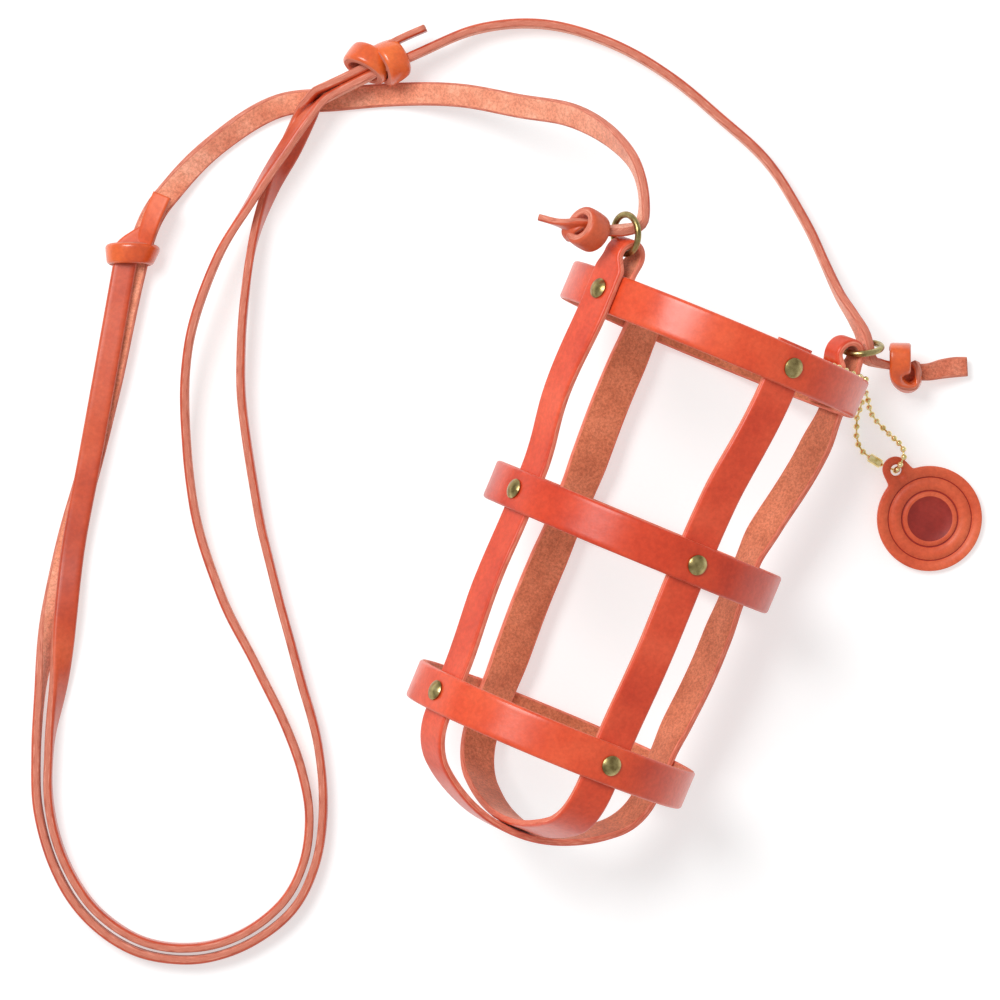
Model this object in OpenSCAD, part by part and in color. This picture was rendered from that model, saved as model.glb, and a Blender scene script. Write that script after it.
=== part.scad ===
// Leather bottle carrier: three ring bands riveted round two crossing straps,
// a knotted two-lace shoulder cord on metal rings, and a round tag on a ball chain.
// It lies on its side as when put down: mouth towards +Y, floor at z = 0.

/* [Leather] */
// Width of the three ring bands
band_w = 10; // [8:0.5:14]
// Thickness of the ring bands
band_t = 2; // [1.6:0.1:2.6]
// Width of the two upright straps
strap_w = 10; // [8:0.5:10.5]
// Thickness of the upright straps
strap_t = 1.8; // [1.4:0.1:2.2]
// Width of the shoulder laces
lace_w = 6; // [5:0.1:6.4]
// Thickness of the shoulder laces
lace_t = 2.2; // [1.6:0.1:2.3]

/* [Cage] */
// Outer radius of the middle band
mid_band_r = 38.5; // [34:0.5:44]
// Growth in radius from each band to the next one towards the mouth
band_growth = 1.3; // [0.6:0.1:2]
// Distance from band to band
band_pitch = 53.3; // [46:0.1:66]
// Depth of the round bottom below the lowest band's middle
bottom_depth = 27; // [23:0.5:32]
// Radius of the bottom bend where the uprights turn in
corner_r = 15; // [11:0.5:16]
// How far the uprights bow out between two bands
strap_bow = 0.8; // [0:0.1:1.5]
// Gap between the two straps where they cross under the bottle
cross_gap = 0.4; // [0.2:0.1:1]

/* [Directions] */
// Direction of the looped strap's left uprights in degrees, from the right side over the top
looped_dir = 146; // [138:1:150]
// Direction of its left loop above the top band
left_loop_dir = 139.5; // [136:0.5:150]
// Direction of its right uprights at the two lower bands
looped_right_dir = 328; // [320:1:334]
// Direction of its right loop above the top band
right_loop_dir = 329; // [322:1:334]
// Direction of the plain strap's right upright at the two lower bands
plain_dir = 64.8; // [58:0.1:70]
// Its direction at the top band
plain_top_dir = 60.5; // [56:0.5:66]
// Direction of the plain strap's left upright, on the floor side
plain_far_dir = 241.5; // [236:0.5:248]
// Extra turn towards the floor of the uprights on the floor side, between the two lower bands
// and in their loop
floor_roll = 9; // [0:1:10]
// The same between the two upper bands
upper_roll = 14; // [0:1:15]

/* [Strap loops and rings] */
// Height of the folded loops above the middle of the top band
loop_rise = 14.3; // [13.9:0.1:20]
// Width of the strap where it is folded over its ring
loop_w = 6; // [4.5:0.1:6]
// Inner radius of the fold
fold_r = 2.7; // [2.4:0.1:2.8]
// Length of the folded end below the middle of the top band
return_len = 4; // [3.6:0.2:6]
// How far the plain strap's ends stand above the top band
plain_overrun = 0.7; // [0.5:0.1:3]
// Outer diameter of the metal rings
ring_d = 11.2; // [11:0.1:13]
// Wire diameter of the metal rings
ring_wire = 1.6; // [1.2:0.1:1.7]
// Outward lean of the left ring at rest
left_ring_lean = 20; // [14:1:26]
// Outward lean of the right ring at rest
right_ring_lean = 58; // [54:1:64]

/* [Rivets] */
// Diameter of the rivet caps
cap_d = 5; // [4:0.1:7]
// Height of the domed caps
cap_h = 1.2; // [0.9:0.1:1.6]
// Height of a cap's straight rim
cap_rim = 0.3; // [0.2:0.05:0.5]
// Diameter of the smaller inner heads on the posts
inner_cap_d = 3.8; // [3.2:0.1:5]
// Diameter of the rivet posts
post_d = 2.4; // [1.8:0.1:3]
// Radial clearance of a post in its punched hole
post_fit = 0.05; // [0.03:0.01:0.1]

/* [Knots] */
// Diameter of the stopper knots
stopper_d = 10.5; // [9:0.5:12]
// Length of the stopper knots
stopper_len = 9; // [7:0.5:11]
// Length of the upper sliding knot
upper_knot_len = 14; // [11:0.5:15]
// Length of the lower sliding knot
lower_knot_len = 7; // [6:0.5:9]
// Clearance between a sliding knot and the strands in it
knot_fit = 0.35; // [0.3:0.05:0.5]

/* [Chain and tag] */
// Diameter of the chain's beads
bead_d = 1.6; // [1.4:0.1:1.8]
// Distance from bead to bead
bead_pitch = 2.2; // [2:0.1:2.6]
// Diameter of the wire between the beads
link_d = 0.5; // [0.4:0.05:0.7]
// Diameter of the connector's barrel
connector_d = 2.3; // [2.2:0.1:2.6]
// Length of the connector's barrel
connector_len = 3.4; // [3:0.1:4]
// Radial clearance of the end beads in the barrel
bead_fit = 0.05; // [0.02:0.01:0.1]
// Diameter of the round tag
tag_d = 27; // [22:0.5:30]
// Thickness of the tag
tag_t = 2; // [1.6:0.1:2.4]
// Width of the tag's ear
ear_w = 7; // [6:0.2:9]
// Diameter of the hole in the ear
ear_hole_d = 3; // [2.6:0.1:3.4]

/* [Hidden] */
$fn = 64;

LEATHER = "#d9603c";
SUEDE = "#b4714e";
BRASS = "#95875a";
GOLD = "#c8b464";

// How far cutting shapes run past what they cut
overrun = 0.5;
// Gap at which pieces lie on each other
seat = 0.03;
// Share of a strip's thickness taken by its rounded edges
edge_share = 0.2;
// Steps of a folded strip's arc, of a bend at the bottom and of an easing stretch
ARC_STEPS = 8;
BEND_STEPS = 6;
EASE_STEPS = 8;
// Sides of the chain's small round parts in a preview
BEAD_SIDES = 24;

// Row of the bands: radii and places along the axis
top_band_r = mid_band_r + band_growth;
bottom_band_r = mid_band_r - band_growth;
cage_tilt = atan(band_growth / band_pitch);
cage_height = mid_band_r * cos(cage_tilt) + band_w / 2 * sin(cage_tilt);

// Distance from the axis of the middle of a strap lying inside or outside a band of radius r
function inside_r(r) = sqrt((r - band_t) ^ 2 - (strap_w / 2) ^ 2) - seat - strap_t / 2;
function outside_r(r) = r + seat + strap_t / 2;

// Closing lap of each band, at the plain strap's left upright
lap_t = band_t / 2;
lap_dir = plain_far_dir;
lap_len = band_w;
lap_open_share = 0.7;

// Bottom bend of a strap: corner arc from the uprights, then a flatter crown
bend_top = -band_pitch - band_w / 2;
upright_r = inside_r(bottom_band_r);
looped_low = -band_pitch - bottom_depth + strap_t / 2;
plain_low = looped_low + strap_t + cross_gap;

// Fold of the looped strap over its ring: it bulges outwards a little, and more inwards
fold_mid_r = fold_r + strap_t / 2;
fold_y = band_pitch + loop_rise - fold_r - strap_t;
fold_bulge_share = 0.36;
fold_x = outside_r(top_band_r) + fold_bulge_share * band_t - fold_mid_r;
// Length over which an upright takes up its extra turn
roll_len = band_w;
// Stretch between the two upper bands in which an upright turns to its direction at the top band,
// from and to shares of its length: on the floor side, and on the upper side
turn_shares = [[0, 1], [0.25, 1]];

// Ring: middle-line radius, and the swing axis set back from the wire's middle
ring_r = (ring_d - ring_wire) / 2;
ring_set_back_share = 0.5;
ring_set_back = ring_set_back_share * (ring_r - sqrt(ring_r ^ 2 - (loop_w / 2) ^ 2));
// The ring is pulled to the outer upper part of the fold: slack left there, and the pull's direction
// from the axis outwards
fold_gap = 0.6;
ring_pull = fold_r - ring_wire / 2 - fold_gap;
pull_dir = 39;

// A rivet post's thin tip snaps into a blind socket in the cap
tip_d = post_d / 2;
tip_h = cap_h / 2;
post_gap = seat / 2;

// Knots: lean of a stopper's wrap and its share of the lace's width; slots for two strands side by
// side on edge in the upper knot, and for two flat ones, one shifted above the other, in the lower
wrap_lean = 24;
wrap_share = 0.7;
upper_slot_w = 2 * lace_t + 3 * knot_fit;
upper_slot_h = lace_w + 2 * knot_fit;
lower_shift_share = 0.62;
lower_slot_w = lace_w * (1 + lower_shift_share) + 2 * knot_fit;
lower_slot_h = 2 * lace_t + 4 * knot_fit;
UPPER_TILTS = [9, -7];
LOWER_TILTS = [0];

// Shoulder laces: places on the strip's middle line and the lean of its width in degrees,
// 0 lying grain up, 90 on edge, 180 grain down. Left lace from its ring to the upper knot.
LEFT_ROUTE = [
    [-35.6, 66, 69, 107], [-31, 68.4, 66.6, 107], [-28.2, 71.5, 64.1, 103], [-29.6, 77.3, 62.1, 96],
    [-34.6, 84.4, 59.3, 100], [-42, 89, 52, 122], [-54, 91.7, 37.5, 155], [-67.9, 89.8, 24, 170],
    [-82.8, 87.5, 12.5, 175], [-97.6, 82.6, 2.2, 180], [-111.5, 75.6, 1.3, 180], [-125.5, 67.7, 2, 165],
    [-136.4, 52.3, 2.8, 145], [-142, 38.3, 3.5, 165], [-144.2, 27.4, 3.9, 180], [-137.4, -15.8, 3.9, 180],
    [-134.6, -35.2, 2.2, 180], [-132.4, -55.1, 1.3, 180], [-129.2, -73, 2.2, 160], [-127.2, -82.4, 3.2, 130],
    [-125, -91.4, 3.4, 100], [-119.5, -107.8, 3.2, 90], [-113, -122.2, 3.2, 90], [-103.1, -134.6, 3.2, 90],
    [-90.7, -143.1, 3.2, 90], [-75.3, -146.1, 3.2, 90], [-60.8, -142.1, 3.2, 90], [-49.9, -133.2, 3.2, 90],
    [-42.9, -120.7, 3.2, 90], [-42, -108.3, 3.2, 90], [-44.9, -95.9, 3.2, 90], [-52.4, -80.5, 3.2, 90],
    [-63.3, -66, 3.2, 90], [-76.8, -48.6, 3.2, 90], [-87.7, -33.7, 3.2, 90], [-97.1, -18.8, 4, 90],
    [-106.1, -2.9, 5.5, 90], [-112.6, 14.4, 7, 90], [-117.6, 32.4, 6, 90], [-118.8, 48.3, 3.8, 60],
    [-118.1, 60.2, 2.6, 20], [-117.7, 69.2, 3, 25], [-117.1, 74.8, 8, 85], [-115.5, 76.6, 8.5, 90],
    [-102.5, 91.3, 8.5, 90]
];
// Right lace from its ring to the lower knot
RIGHT_ROUTE = [
    [44.7, 65.9, 12.5, 86], [41.7, 65.2, 14.2, 90], [39, 65.1, 16.2, 103], [37, 67.2, 17.6, 115],
    [35.1, 69.9, 17.9, 112], [31.1, 73.4, 15.4, 102], [25.9, 77.7, 10.6, 95], [18.9, 84.6, 6.1, 90],
    [11.3, 91.8, 3.8, 90], [-3.7, 102.5, 3.2, 90], [-19.6, 108.4, 3.2, 90], [-36, 113.4, 3.2, 90],
    [-52.9, 115.4, 3.2, 90], [-69.8, 113.4, 3.4, 90], [-84.7, 106, 5, 90], [-96.6, 94.1, 8.5, 90],
    [-113.6, 75, 8.5, 90], [-115.1, 72.9, 8.9, 85], [-117.6, 65.7, 10.2, 65], [-119.4, 57.2, 10.4, 65],
    [-121.6, 43.8, 10.5, 80], [-124.1, 26.3, 12, 90], [-123.6, 9.4, 12, 90], [-120.6, -4.5, 9.5, 90],
    [-112.6, -23.3, 5, 90], [-103.1, -39.2, 3.2, 90], [-90.2, -54.1, 3.2, 90], [-75.8, -66.5, 3.2, 90],
    [-62.3, -78.5, 3.2, 90], [-53.9, -87.9, 3.2, 90], [-48.3, -97, 3.2, 90], [-45.1, -108.6, 3.2, 90],
    [-45.9, -119.7, 3.2, 90], [-52.3, -131.2, 3.2, 90], [-62.2, -139.3, 3.2, 90], [-75.4, -143, 3.2, 90],
    [-89.5, -140.2, 3.2, 90], [-101, -132.4, 3.2, 90], [-110.5, -120.6, 3.2, 90], [-116.5, -106.3, 3.2, 90],
    [-120.5, -89.9, 4, 55], [-125.5, -73.5, 4.8, 10], [-130.5, -56.1, 4.2, 0], [-134.9, -34.8, 5.3, 0],
    [-138.9, -15.9, 6.5, 0], [-146.4, 18.4, 6.5, 0]
];

// Places of the knots; a tail is a short strip with the same four values a point
LEFT_STOPPER_AT = [-39.4, 64.2, 70.8];
RIGHT_STOPPER_AT = [48.5, 66.8, 10.2];
LEFT_TAIL = [[-42.9, 63.6, 69.8, 60], [-46.4, 63.1, 68.8, 75], [-50.4, 63.8, 67.3, 90]];
RIGHT_TAIL = [[52.2, 67.4, 6.9, 150], [57.6, 69.6, 4.4, 165], [64, 72.7, 2.5, 180]];
UPPER_KNOT_AT = [-104.2, 87.6, 8.5];
LOWER_KNOT_AT = [-144.7, 18.9, 5.2];
UPPER_TAIL = [[-106.6, 90.5, 8.5, 90], [-102.5, 95.2, 8.8, 90], [-97.7, 100.2, 9.4, 90]];
LOWER_HUMP = [[-147.2, 18, 8.8, 0], [-147.3, 20.9, 9.2, 0], [-147.3, 23.7, 9, 0]];
LOWER_TAIL = [[-143, 19.4, 9.2, 0], [-143.1, 24.4, 9.6, 0], [-143.3, 29.8, 9.8, 0], [-143.5, 35.3, 9.5, 0]];
// Directions of the two straight stretches that the sliding knots ride on
upper_knot_dir = 228.4;
lower_knot_dir = 102.3;

// Ball chain: slack of its turn round the strap, share of the fold's bulge that the turn leaves room
// for, the turn's lines round the loop's foot, how far into a bead its links reach short of the middle
wrap_gap = 0.1;
wrap_bulge_share = 0.4;
wrap_out = outside_r(top_band_r) + (strap_t + bead_d) / 2 + wrap_gap
    + wrap_bulge_share * (fold_x + fold_mid_r - outside_r(top_band_r));
wrap_in = inside_r(top_band_r) - (strap_t + bead_d) / 2 - wrap_gap
    - wrap_bulge_share * (inside_r(top_band_r) - fold_x + fold_mid_r);
wrap_side = (strap_w + bead_d) / 2 + wrap_gap;
wrap_y = band_pitch + (band_w + bead_d) / 2 + wrap_gap;
link_inset_share = 0.2;

// The two hanging strands from the turn's lower corner: places across the floor from there, and the
// height as a share of that corner's height above a bead that lies on the floor
floor_gap = 0.15;
chain_low = bead_d / 2 + floor_gap;
hang_at = cage_place([wrap_out, wrap_y, -wrap_side - bead_d - wrap_gap], right_loop_dir);
LEFT_STRAND = [
    [0, 0, 1], [1.5, -1.1, 0.72], [5.1, -2.6, 0.41], [8, -3.7, 0.27], [9.2, -4.7, 0.21],
    [9.5, -7, 0.07], [9.7, -9.4, 0.01], [10.6, -11.5, 0.01], [11.7, -14.1, 0.01], [13.3, -16, 0.015],
    [15.3, -16.8, 0.025], [16.6, -17.1, 0.034]
];
RIGHT_STRAND = [
    [0, 0, 1], [2.9, 0.4, 0.95], [6.6, -0.5, 0.72], [9, -2.4, 0.48], [10.7, -4.2, 0.33],
    [11.9, -6.2, 0.17], [14.7, -7.9, 0.04], [17, -8.9, 0.05], [19.2, -9.9, 0.16], [21, -10.6, 0.35],
    [22.8, -11.6, 0.52], [24.2, -12.9, 0.585], [24.3, -15.2, 0.55], [24.1, -17.3, 0.44], [23.9, -17.7, 0.11],
    [22.6, -17.8, 0.045], [19.7, -17.6, 0.034]
];
// Middle of the ear's hole on the tag's upper face, and the tag's direction from it
EAR = [23.9, -17.7, 0.4];
tag_dir = -32.4;
// The ear's hole to the disc's middle, and the slope at which the tag leans on the chain
ear_reach = tag_d / 2 + ear_w / 4;
ear_at = hung([EAR])[0];
tag_slope = asin((ear_at[2] - tag_t - floor_gap) / (ear_reach + tag_d / 2));
// Depth and width of the pressed circles
press_depth = 0.25;
press_w = 0.5;
press_shares = [0.8, 0.58, 0.52];

function unit(v) = v / norm(v);
function mix(a, b, s) = a + (b - a) * s;
function ease(s) = (1 - cos(180 * s)) / 2;
function reversed(list) = [for (i = [len(list) - 1:-1:0]) list[i]];
function within(s) = max(0, min(1, s));
function sum(list, count) = count <= 0 ? 0 : list[count - 1] + sum(list, count - 1);

// A strip's section in its own width and thickness, anticlockwise, with rounded edges
function strip_section(w, t) =
    let (c = t * edge_share, x = w / 2, y = t / 2)
    [[x, c - y], [x, y - c], [x - c, y], [c - x, y], [-x, y - c], [-x, c - y], [c - x, -y], [x - c, -y]];

// A solid strip through stations of [place, width direction, grain direction, width, thickness]
module strip(stations) {
    sides = len(strip_section(1, 1));
    last = (len(stations) - 1) * sides;
    points = [
        for (s = stations, p = strip_section(s[3], s[4])) s[0] + p[0] * s[1] + p[1] * s[2]
    ];
    walls = [
        for (i = [0:sides:last - sides], k = [0:sides - 1])
            let (a = i + k, b = i + (k + 1) % sides)
            each [[a, a + sides, b + sides], [a, b + sides, b]]
    ];
    start_face = [for (k = [0:sides - 1]) k];
    end_face = [for (k = [sides - 1:-1:0]) last + k];
    polyhedron(points, concat([start_face], walls, [end_face]), convexity = 10);
}

// Stations along a lace's route, from its places and leans
function route_stations(route, w, t) = [
    for (i = [0:len(route) - 1])
        let (
            here = route[i],
            before = route[max(i - 1, 0)],
            after = route[min(i + 1, len(route) - 1)],
            place = [here[0], here[1], here[2]],
            to_here = i == 0 ? [0, 0, 0] : unit(place - [before[0], before[1], before[2]]),
            from_here = i == len(route) - 1 ? [0, 0, 0] : unit([after[0], after[1], after[2]] - place),
            along = unit(to_here + from_here),
            side = unit(cross([0, 0, 1], along)),
            rise = cross(along, side),
            across = cos(here[3]) * side + sin(here[3]) * rise
        )
        [place, across, cross(along, across), w, t]
];

// The cage's frame: its axis along Y, tilted so that all three bands rest on the floor
module cage() {
    translate([0, 0, cage_height]) rotate([cage_tilt, 0, 0]) children();
}

// Turns local X to the direction a round the cage's axis
module facing(a) {
    rotate([0, -a, 0]) children();
}

// Half of a strap's middle line from the bottom's centre outwards, as [radius, place along the axis, width]
function bend_points(low) =
    let (
        b = bend_top - low,
        crown_r = ((upright_r - corner_r) ^ 2 + b ^ 2 - corner_r ^ 2) / (2 * (b - corner_r)),
        joint = asin((upright_r - corner_r) / (crown_r - corner_r))
    )
    concat(
        [for (i = [0:BEND_STEPS]) let (a = joint * i / BEND_STEPS)
            [crown_r * sin(a), low + crown_r * (1 - cos(a)), strap_w]],
        [for (i = [1:BEND_STEPS]) let (a = mix(joint, 90, i / BEND_STEPS))
            [upright_r - corner_r * (1 - sin(a)), bend_top - corner_r * cos(a), strap_w]]
    );

// Stretch between two bands, bowed out in the middle
function eased_points(r0, r1, y0, y1) = [
    for (i = [0:EASE_STEPS]) let (s = i / EASE_STEPS)
        [mix(r0, r1, ease(s)) + strap_bow * sin(180 * s) ^ 2, mix(y0, y1, s), strap_w]
];

function upright_points(top_r) = concat(
    eased_points(upright_r, inside_r(mid_band_r), band_w / 2 - band_pitch, -band_w / 2),
    eased_points(inside_r(mid_band_r), top_r, band_w / 2, band_pitch - band_w / 2)
);

// The loop over a ring: up outside the band, over the fold, and down inside it
function loop_points() =
    let (band_top = band_pitch + band_w / 2, out = outside_r(top_band_r), in = inside_r(top_band_r))
    concat(
        [[out, band_top, strap_w]],
        [for (i = [1:EASE_STEPS / 2]) let (s = i / (EASE_STEPS / 2), e = ease(s))
            [mix(out, fold_x + fold_mid_r, e), mix(band_top, fold_y, s), mix(strap_w, loop_w, e)]],
        [for (i = [1:ARC_STEPS]) let (a = 180 * i / ARC_STEPS)
            [fold_x + fold_mid_r * cos(a), fold_y + fold_mid_r * sin(a), loop_w]],
        [for (i = [EASE_STEPS / 2 - 1:-1:0]) let (s = i / (EASE_STEPS / 2), e = ease(s))
            [mix(in, fold_x - fold_mid_r, e), mix(band_top, fold_y, s), mix(strap_w, loop_w, e)]],
        [[in, band_pitch - return_len, strap_w]]
    );

// Extra turn of an upright at direction a and place y: none at a band, on the far side from the floor,
// or in the bottom bend
function roll(a, y) =
    let (
        free = y > band_pitch ? y - band_pitch - band_w / 2
            : min(abs(y) - band_w / 2, band_pitch - band_w / 2 - abs(y)),
        side = sin(a) < 0 ? -sign(cos(a)) : 0,
        turn = y > 0 && y < band_pitch ? upper_roll : floor_roll
    )
    side * turn * ease(within(free / roll_len));

// Direction of a strap's line at a place: dirs has it at the lower bands and at the top band
function heading(y, crown_y, crown_dir, dirs, span) =
    let (
        low = within((y - crown_y) / (bend_top - crown_y)),
        top = within(((y - band_w / 2) / (band_pitch - band_w) - span[0]) / (span[1] - span[0]))
    )
    mix(mix(crown_dir, dirs[0], ease(low)), dirs[1], ease(top));

// A strap's stations from its end on the floor side, where r is negative, to its end on the upper side
function strap_stations(half, crown_dir, far_dirs, near_dirs) =
    let (line = concat([for (p = reversed(half)) if (p[0] > 0) [-p[0], p[1], p[2]]], half))
    [
        for (i = [0:len(line) - 1])
            let (
                p = line[i],
                far = p[0] < 0,
                before = line[max(i - 1, 0)],
                after = line[min(i + 1, len(line) - 1)],
                into = i == 0 ? [0, 0] : unit([p[0] - before[0], p[1] - before[1]]),
                out = i == len(line) - 1 ? [0, 0] : unit([after[0] - p[0], after[1] - p[1]]),
                along = unit(into + out),
                dirs = far ? far_dirs : near_dirs,
                a = heading(p[1], half[0][1], crown_dir, dirs, turn_shares[far ? 0 : 1]),
                rolled = a + roll(far ? a + 180 : a, min(p[1], fold_y)),
                radial = [cos(rolled), 0, sin(rolled)],
                tangent = [-sin(rolled), 0, cos(rolled)],
                pivot = p[1] > band_pitch ? sign(p[0]) * fold_x : p[0]
            )
            [
                pivot * [cos(a), 0, sin(a)] + (p[0] - pivot) * radial + [0, p[1], 0],
                tangent, along[1] * radial - [0, along[0], 0], p[2], strap_t
            ]
    ];

// Rivets of one band: direction, where the post's inner cap sits, where the outer cap sits
function rivet_rows(level) =
    let (
        r = mid_band_r + level * band_growth,
        inner = inside_r(r) - strap_t / 2 - seat,
        top = level == 1,
        left = top ? left_loop_dir : looped_dir,
        right = top ? right_loop_dir : looped_right_dir,
        looped_outer = top ? outside_r(r) + strap_t / 2 + seat : r + seat
    )
    [
        [left, inner, looped_outer],
        [right, inner, looped_outer],
        [top ? plain_top_dir : plain_dir, inner, r + seat],
        [lap_dir, inner, r + lap_t + seat]
    ];

module post_holes(level) {
    for (row = rivet_rows(level))
        facing(row[0]) translate([row[1] - overrun, level * band_pitch, 0]) rotate([0, 90, 0])
            cylinder(d = post_d + 2 * post_fit, h = row[2] - row[1] + 2 * overrun);
}

// Sector of a tube along Y, from angle a0 to a1 as facing() counts them
module tube_sector(r_in, r_out, w, a0, a1) {
    rotate([90, 0, 0]) rotate([0, 0, a0])
        rotate_extrude(angle = a1 - a0) translate([r_in, -w / 2]) square([r_out - r_in, w]);
}

module band(level) {
    r = mid_band_r + level * band_growth;
    half_lap = lap_len / 2 / r * 180 / PI;
    open_lap = half_lap * lap_open_share;
    color(LEATHER) cage() difference() {
        translate([0, level * band_pitch, 0]) {
            rotate([90, 0, 0]) difference() {
                cylinder(r = r, h = band_w, center = true);
                cylinder(r = r - band_t, h = band_w + 2 * overrun, center = true);
            }
            difference() {
                tube_sector(r - lap_t / 2, r + lap_t, band_w, lap_dir - half_lap, lap_dir + half_lap);
                tube_sector(
                    r - lap_t, r + seat, band_w + 2 * overrun, lap_dir - 2 * half_lap, lap_dir + open_lap
                );
            }
        }
        post_holes(level);
    }
}

module top_band() {
    band(1);
}

module middle_band() {
    band(0);
}

module bottom_band() {
    band(-1);
}

module looped_strap() {
    far = looped_right_dir - 180;
    half = concat(
        bend_points(looped_low),
        upright_points(outside_r(top_band_r)),
        loop_points()
    );
    color(LEATHER) cage() difference() {
        strip(strap_stations(
            half, (looped_dir + far) / 2, [far, right_loop_dir - 180], [looped_dir, left_loop_dir]
        ));
        for (level = [-1, 0, 1]) post_holes(level);
    }
}

module plain_strap() {
    far = plain_far_dir - 180;
    half = concat(
        bend_points(plain_low),
        upright_points(inside_r(top_band_r)),
        [[inside_r(top_band_r), band_pitch + band_w / 2 + plain_overrun, strap_w]]
    );
    color(LEATHER) cage() difference() {
        strip(strap_stations(half, (plain_dir + far) / 2, [far, far], [plain_dir, plain_top_dir]));
        for (level = [-1, 0, 1]) post_holes(level);
    }
}

// Half section of a domed cap on its seat
function dome_profile(d) =
    let (rise = cap_h - cap_rim, r = d / 2, ball = (r ^ 2 + rise ^ 2) / (2 * rise), span = asin(r / ball))
    concat(
        [[0, 0], [r, 0]],
        [for (i = [ARC_STEPS:-1:1]) let (a = span * i / ARC_STEPS)
            [ball * sin(a), cap_h - ball * (1 - cos(a))]],
        [[0, cap_h]]
    );

module dome(d) {
    rotate_extrude() polygon(dome_profile(d));
}

module rivet_caps(level) {
    color(BRASS) cage() for (row = rivet_rows(level))
        facing(row[0]) translate([row[2], level * band_pitch, 0]) rotate([0, 90, 0]) difference() {
            dome(cap_d);
            translate([0, 0, -overrun]) cylinder(d = tip_d + 2 * post_fit, h = tip_h + post_fit + overrun);
        }
}

module rivet_posts(level) {
    color(BRASS) cage() for (row = rivet_rows(level))
        facing(row[0]) translate([row[1], level * band_pitch, 0]) {
            rotate([0, -90, 0]) dome(inner_cap_d);
            rotate([0, 90, 0]) cylinder(d = post_d, h = row[2] - row[1] - post_gap);
            rotate([0, 90, 0]) cylinder(d = tip_d, h = row[2] - row[1] + tip_h);
        }
}

module top_rivet_caps() {
    rivet_caps(1);
}

module middle_rivet_caps() {
    rivet_caps(0);
}

module bottom_rivet_caps() {
    rivet_caps(-1);
}

module top_rivet_posts() {
    rivet_posts(1);
}

module middle_rivet_posts() {
    rivet_posts(0);
}

module bottom_rivet_posts() {
    rivet_posts(-1);
}

// A ring hanging in its fold: it swings about the fold's middle, leaning outwards
module o_ring(dir, lean) {
    color(BRASS) cage() facing(dir) translate([fold_x, fold_y, 0]) facing(roll(dir, fold_y))
        rotate([0, 0, -pull_dir]) translate([0, ring_pull, 0])
            rotate([0, 0, pull_dir - lean]) translate([0, ring_r - ring_set_back, 0]) rotate([0, 90, 0])
                rotate_extrude() translate([ring_r, 0]) circle(d = ring_wire);
}

module left_ring() {
    o_ring(left_loop_dir, left_ring_lean);
}

module right_ring() {
    o_ring(right_loop_dir, right_ring_lean);
}

module left_lace() {
    color(SUEDE) strip(route_stations(LEFT_ROUTE, lace_w, lace_t));
}

module right_lace() {
    color(SUEDE) strip(route_stations(RIGHT_ROUTE, lace_w, lace_t));
}

// A route's place, without its lean
function place(p) = [p[0], p[1], p[2]];

// A place given in the frame of facing(dir), as the floor's frame has it
function cage_place(p, dir) =
    let (x = p[0] * cos(dir) - p[2] * sin(dir), z = p[0] * sin(dir) + p[2] * cos(dir))
    [
        x,
        p[1] * cos(cage_tilt) - z * sin(cage_tilt),
        p[1] * sin(cage_tilt) + z * cos(cage_tilt) + cage_height
    ];

// Points local Z along a vector
module aimed(v) {
    rotate([0, acos(v[2] / norm(v)), atan2(v[1], v[0])]) children();
}

// Overhand knot at a lace's end: a rounded body with a wrap of the strip round it, and the tail
module stopper_knot(at, lace_end, tail) {
    r = stopper_d / 2;
    h = stopper_len / 2;
    waist = r - lace_t / 2;
    color(LEATHER) {
        translate(at) aimed(at - lace_end) {
            rotate_extrude() polygon(concat(
                [[0, -h], [lace_w / 2, -h]],
                [for (i = [1:BEND_STEPS]) let (a = mix(-90, 90, i / (BEND_STEPS + 1)))
                    [lace_w / 2 + (waist - lace_w / 2) * cos(a), h * sin(a)]],
                [[lace_w / 2, h], [0, h]]
            ));
            rotate([wrap_lean, 0, 0]) cylinder(r = r, h = lace_w * wrap_share, center = true);
        }
        strip(route_stations(concat([[at[0], at[1], at[2], tail[0][3]]], tail), lace_w, lace_t));
    }
}

module left_stopper_knot() {
    stopper_knot(LEFT_STOPPER_AT, place(LEFT_ROUTE[0]), LEFT_TAIL);
}

module right_stopper_knot() {
    stopper_knot(RIGHT_STOPPER_AT, place(RIGHT_ROUTE[0]), RIGHT_TAIL);
}

// Outline of a rectangle with round corners
function rounded(w, h, r) = [
    for (q = [0:3], i = [0:BEND_STEPS])
        let (a = 90 * (q + i / BEND_STEPS), sx = q == 0 || q == 3 ? 1 : -1, sy = q < 2 ? 1 : -1)
        [sx * (w / 2 - r) + r * cos(a), sy * (h / 2 - r) + r * sin(a)]
];

// Wraps of lace, each turned by one of the tilts, round a straight slot along local Z for two strands
module knot_wraps(slot_w, slot_h, wrap_len, tilts) {
    difference() {
        for (i = [0:len(tilts) - 1])
            translate([0, 0, (i - (len(tilts) - 1) / 2) * wrap_len]) rotate([0, tilts[i], 0])
                linear_extrude(wrap_len, center = true)
                    polygon(rounded(slot_w + 2 * lace_t, slot_h + 2 * lace_t, lace_t));
        cube([slot_w, slot_h, 2 * wrap_len * len(tilts)], center = true);
    }
}

module upper_sliding_knot() {
    color(LEATHER) {
        translate(UPPER_KNOT_AT) rotate([0, 0, upper_knot_dir - 90]) rotate([-90, 0, 0])
            knot_wraps(upper_slot_w, upper_slot_h, upper_knot_len / len(UPPER_TILTS), UPPER_TILTS);
        strip(route_stations(UPPER_TAIL, lace_w, lace_t));
    }
}

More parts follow.
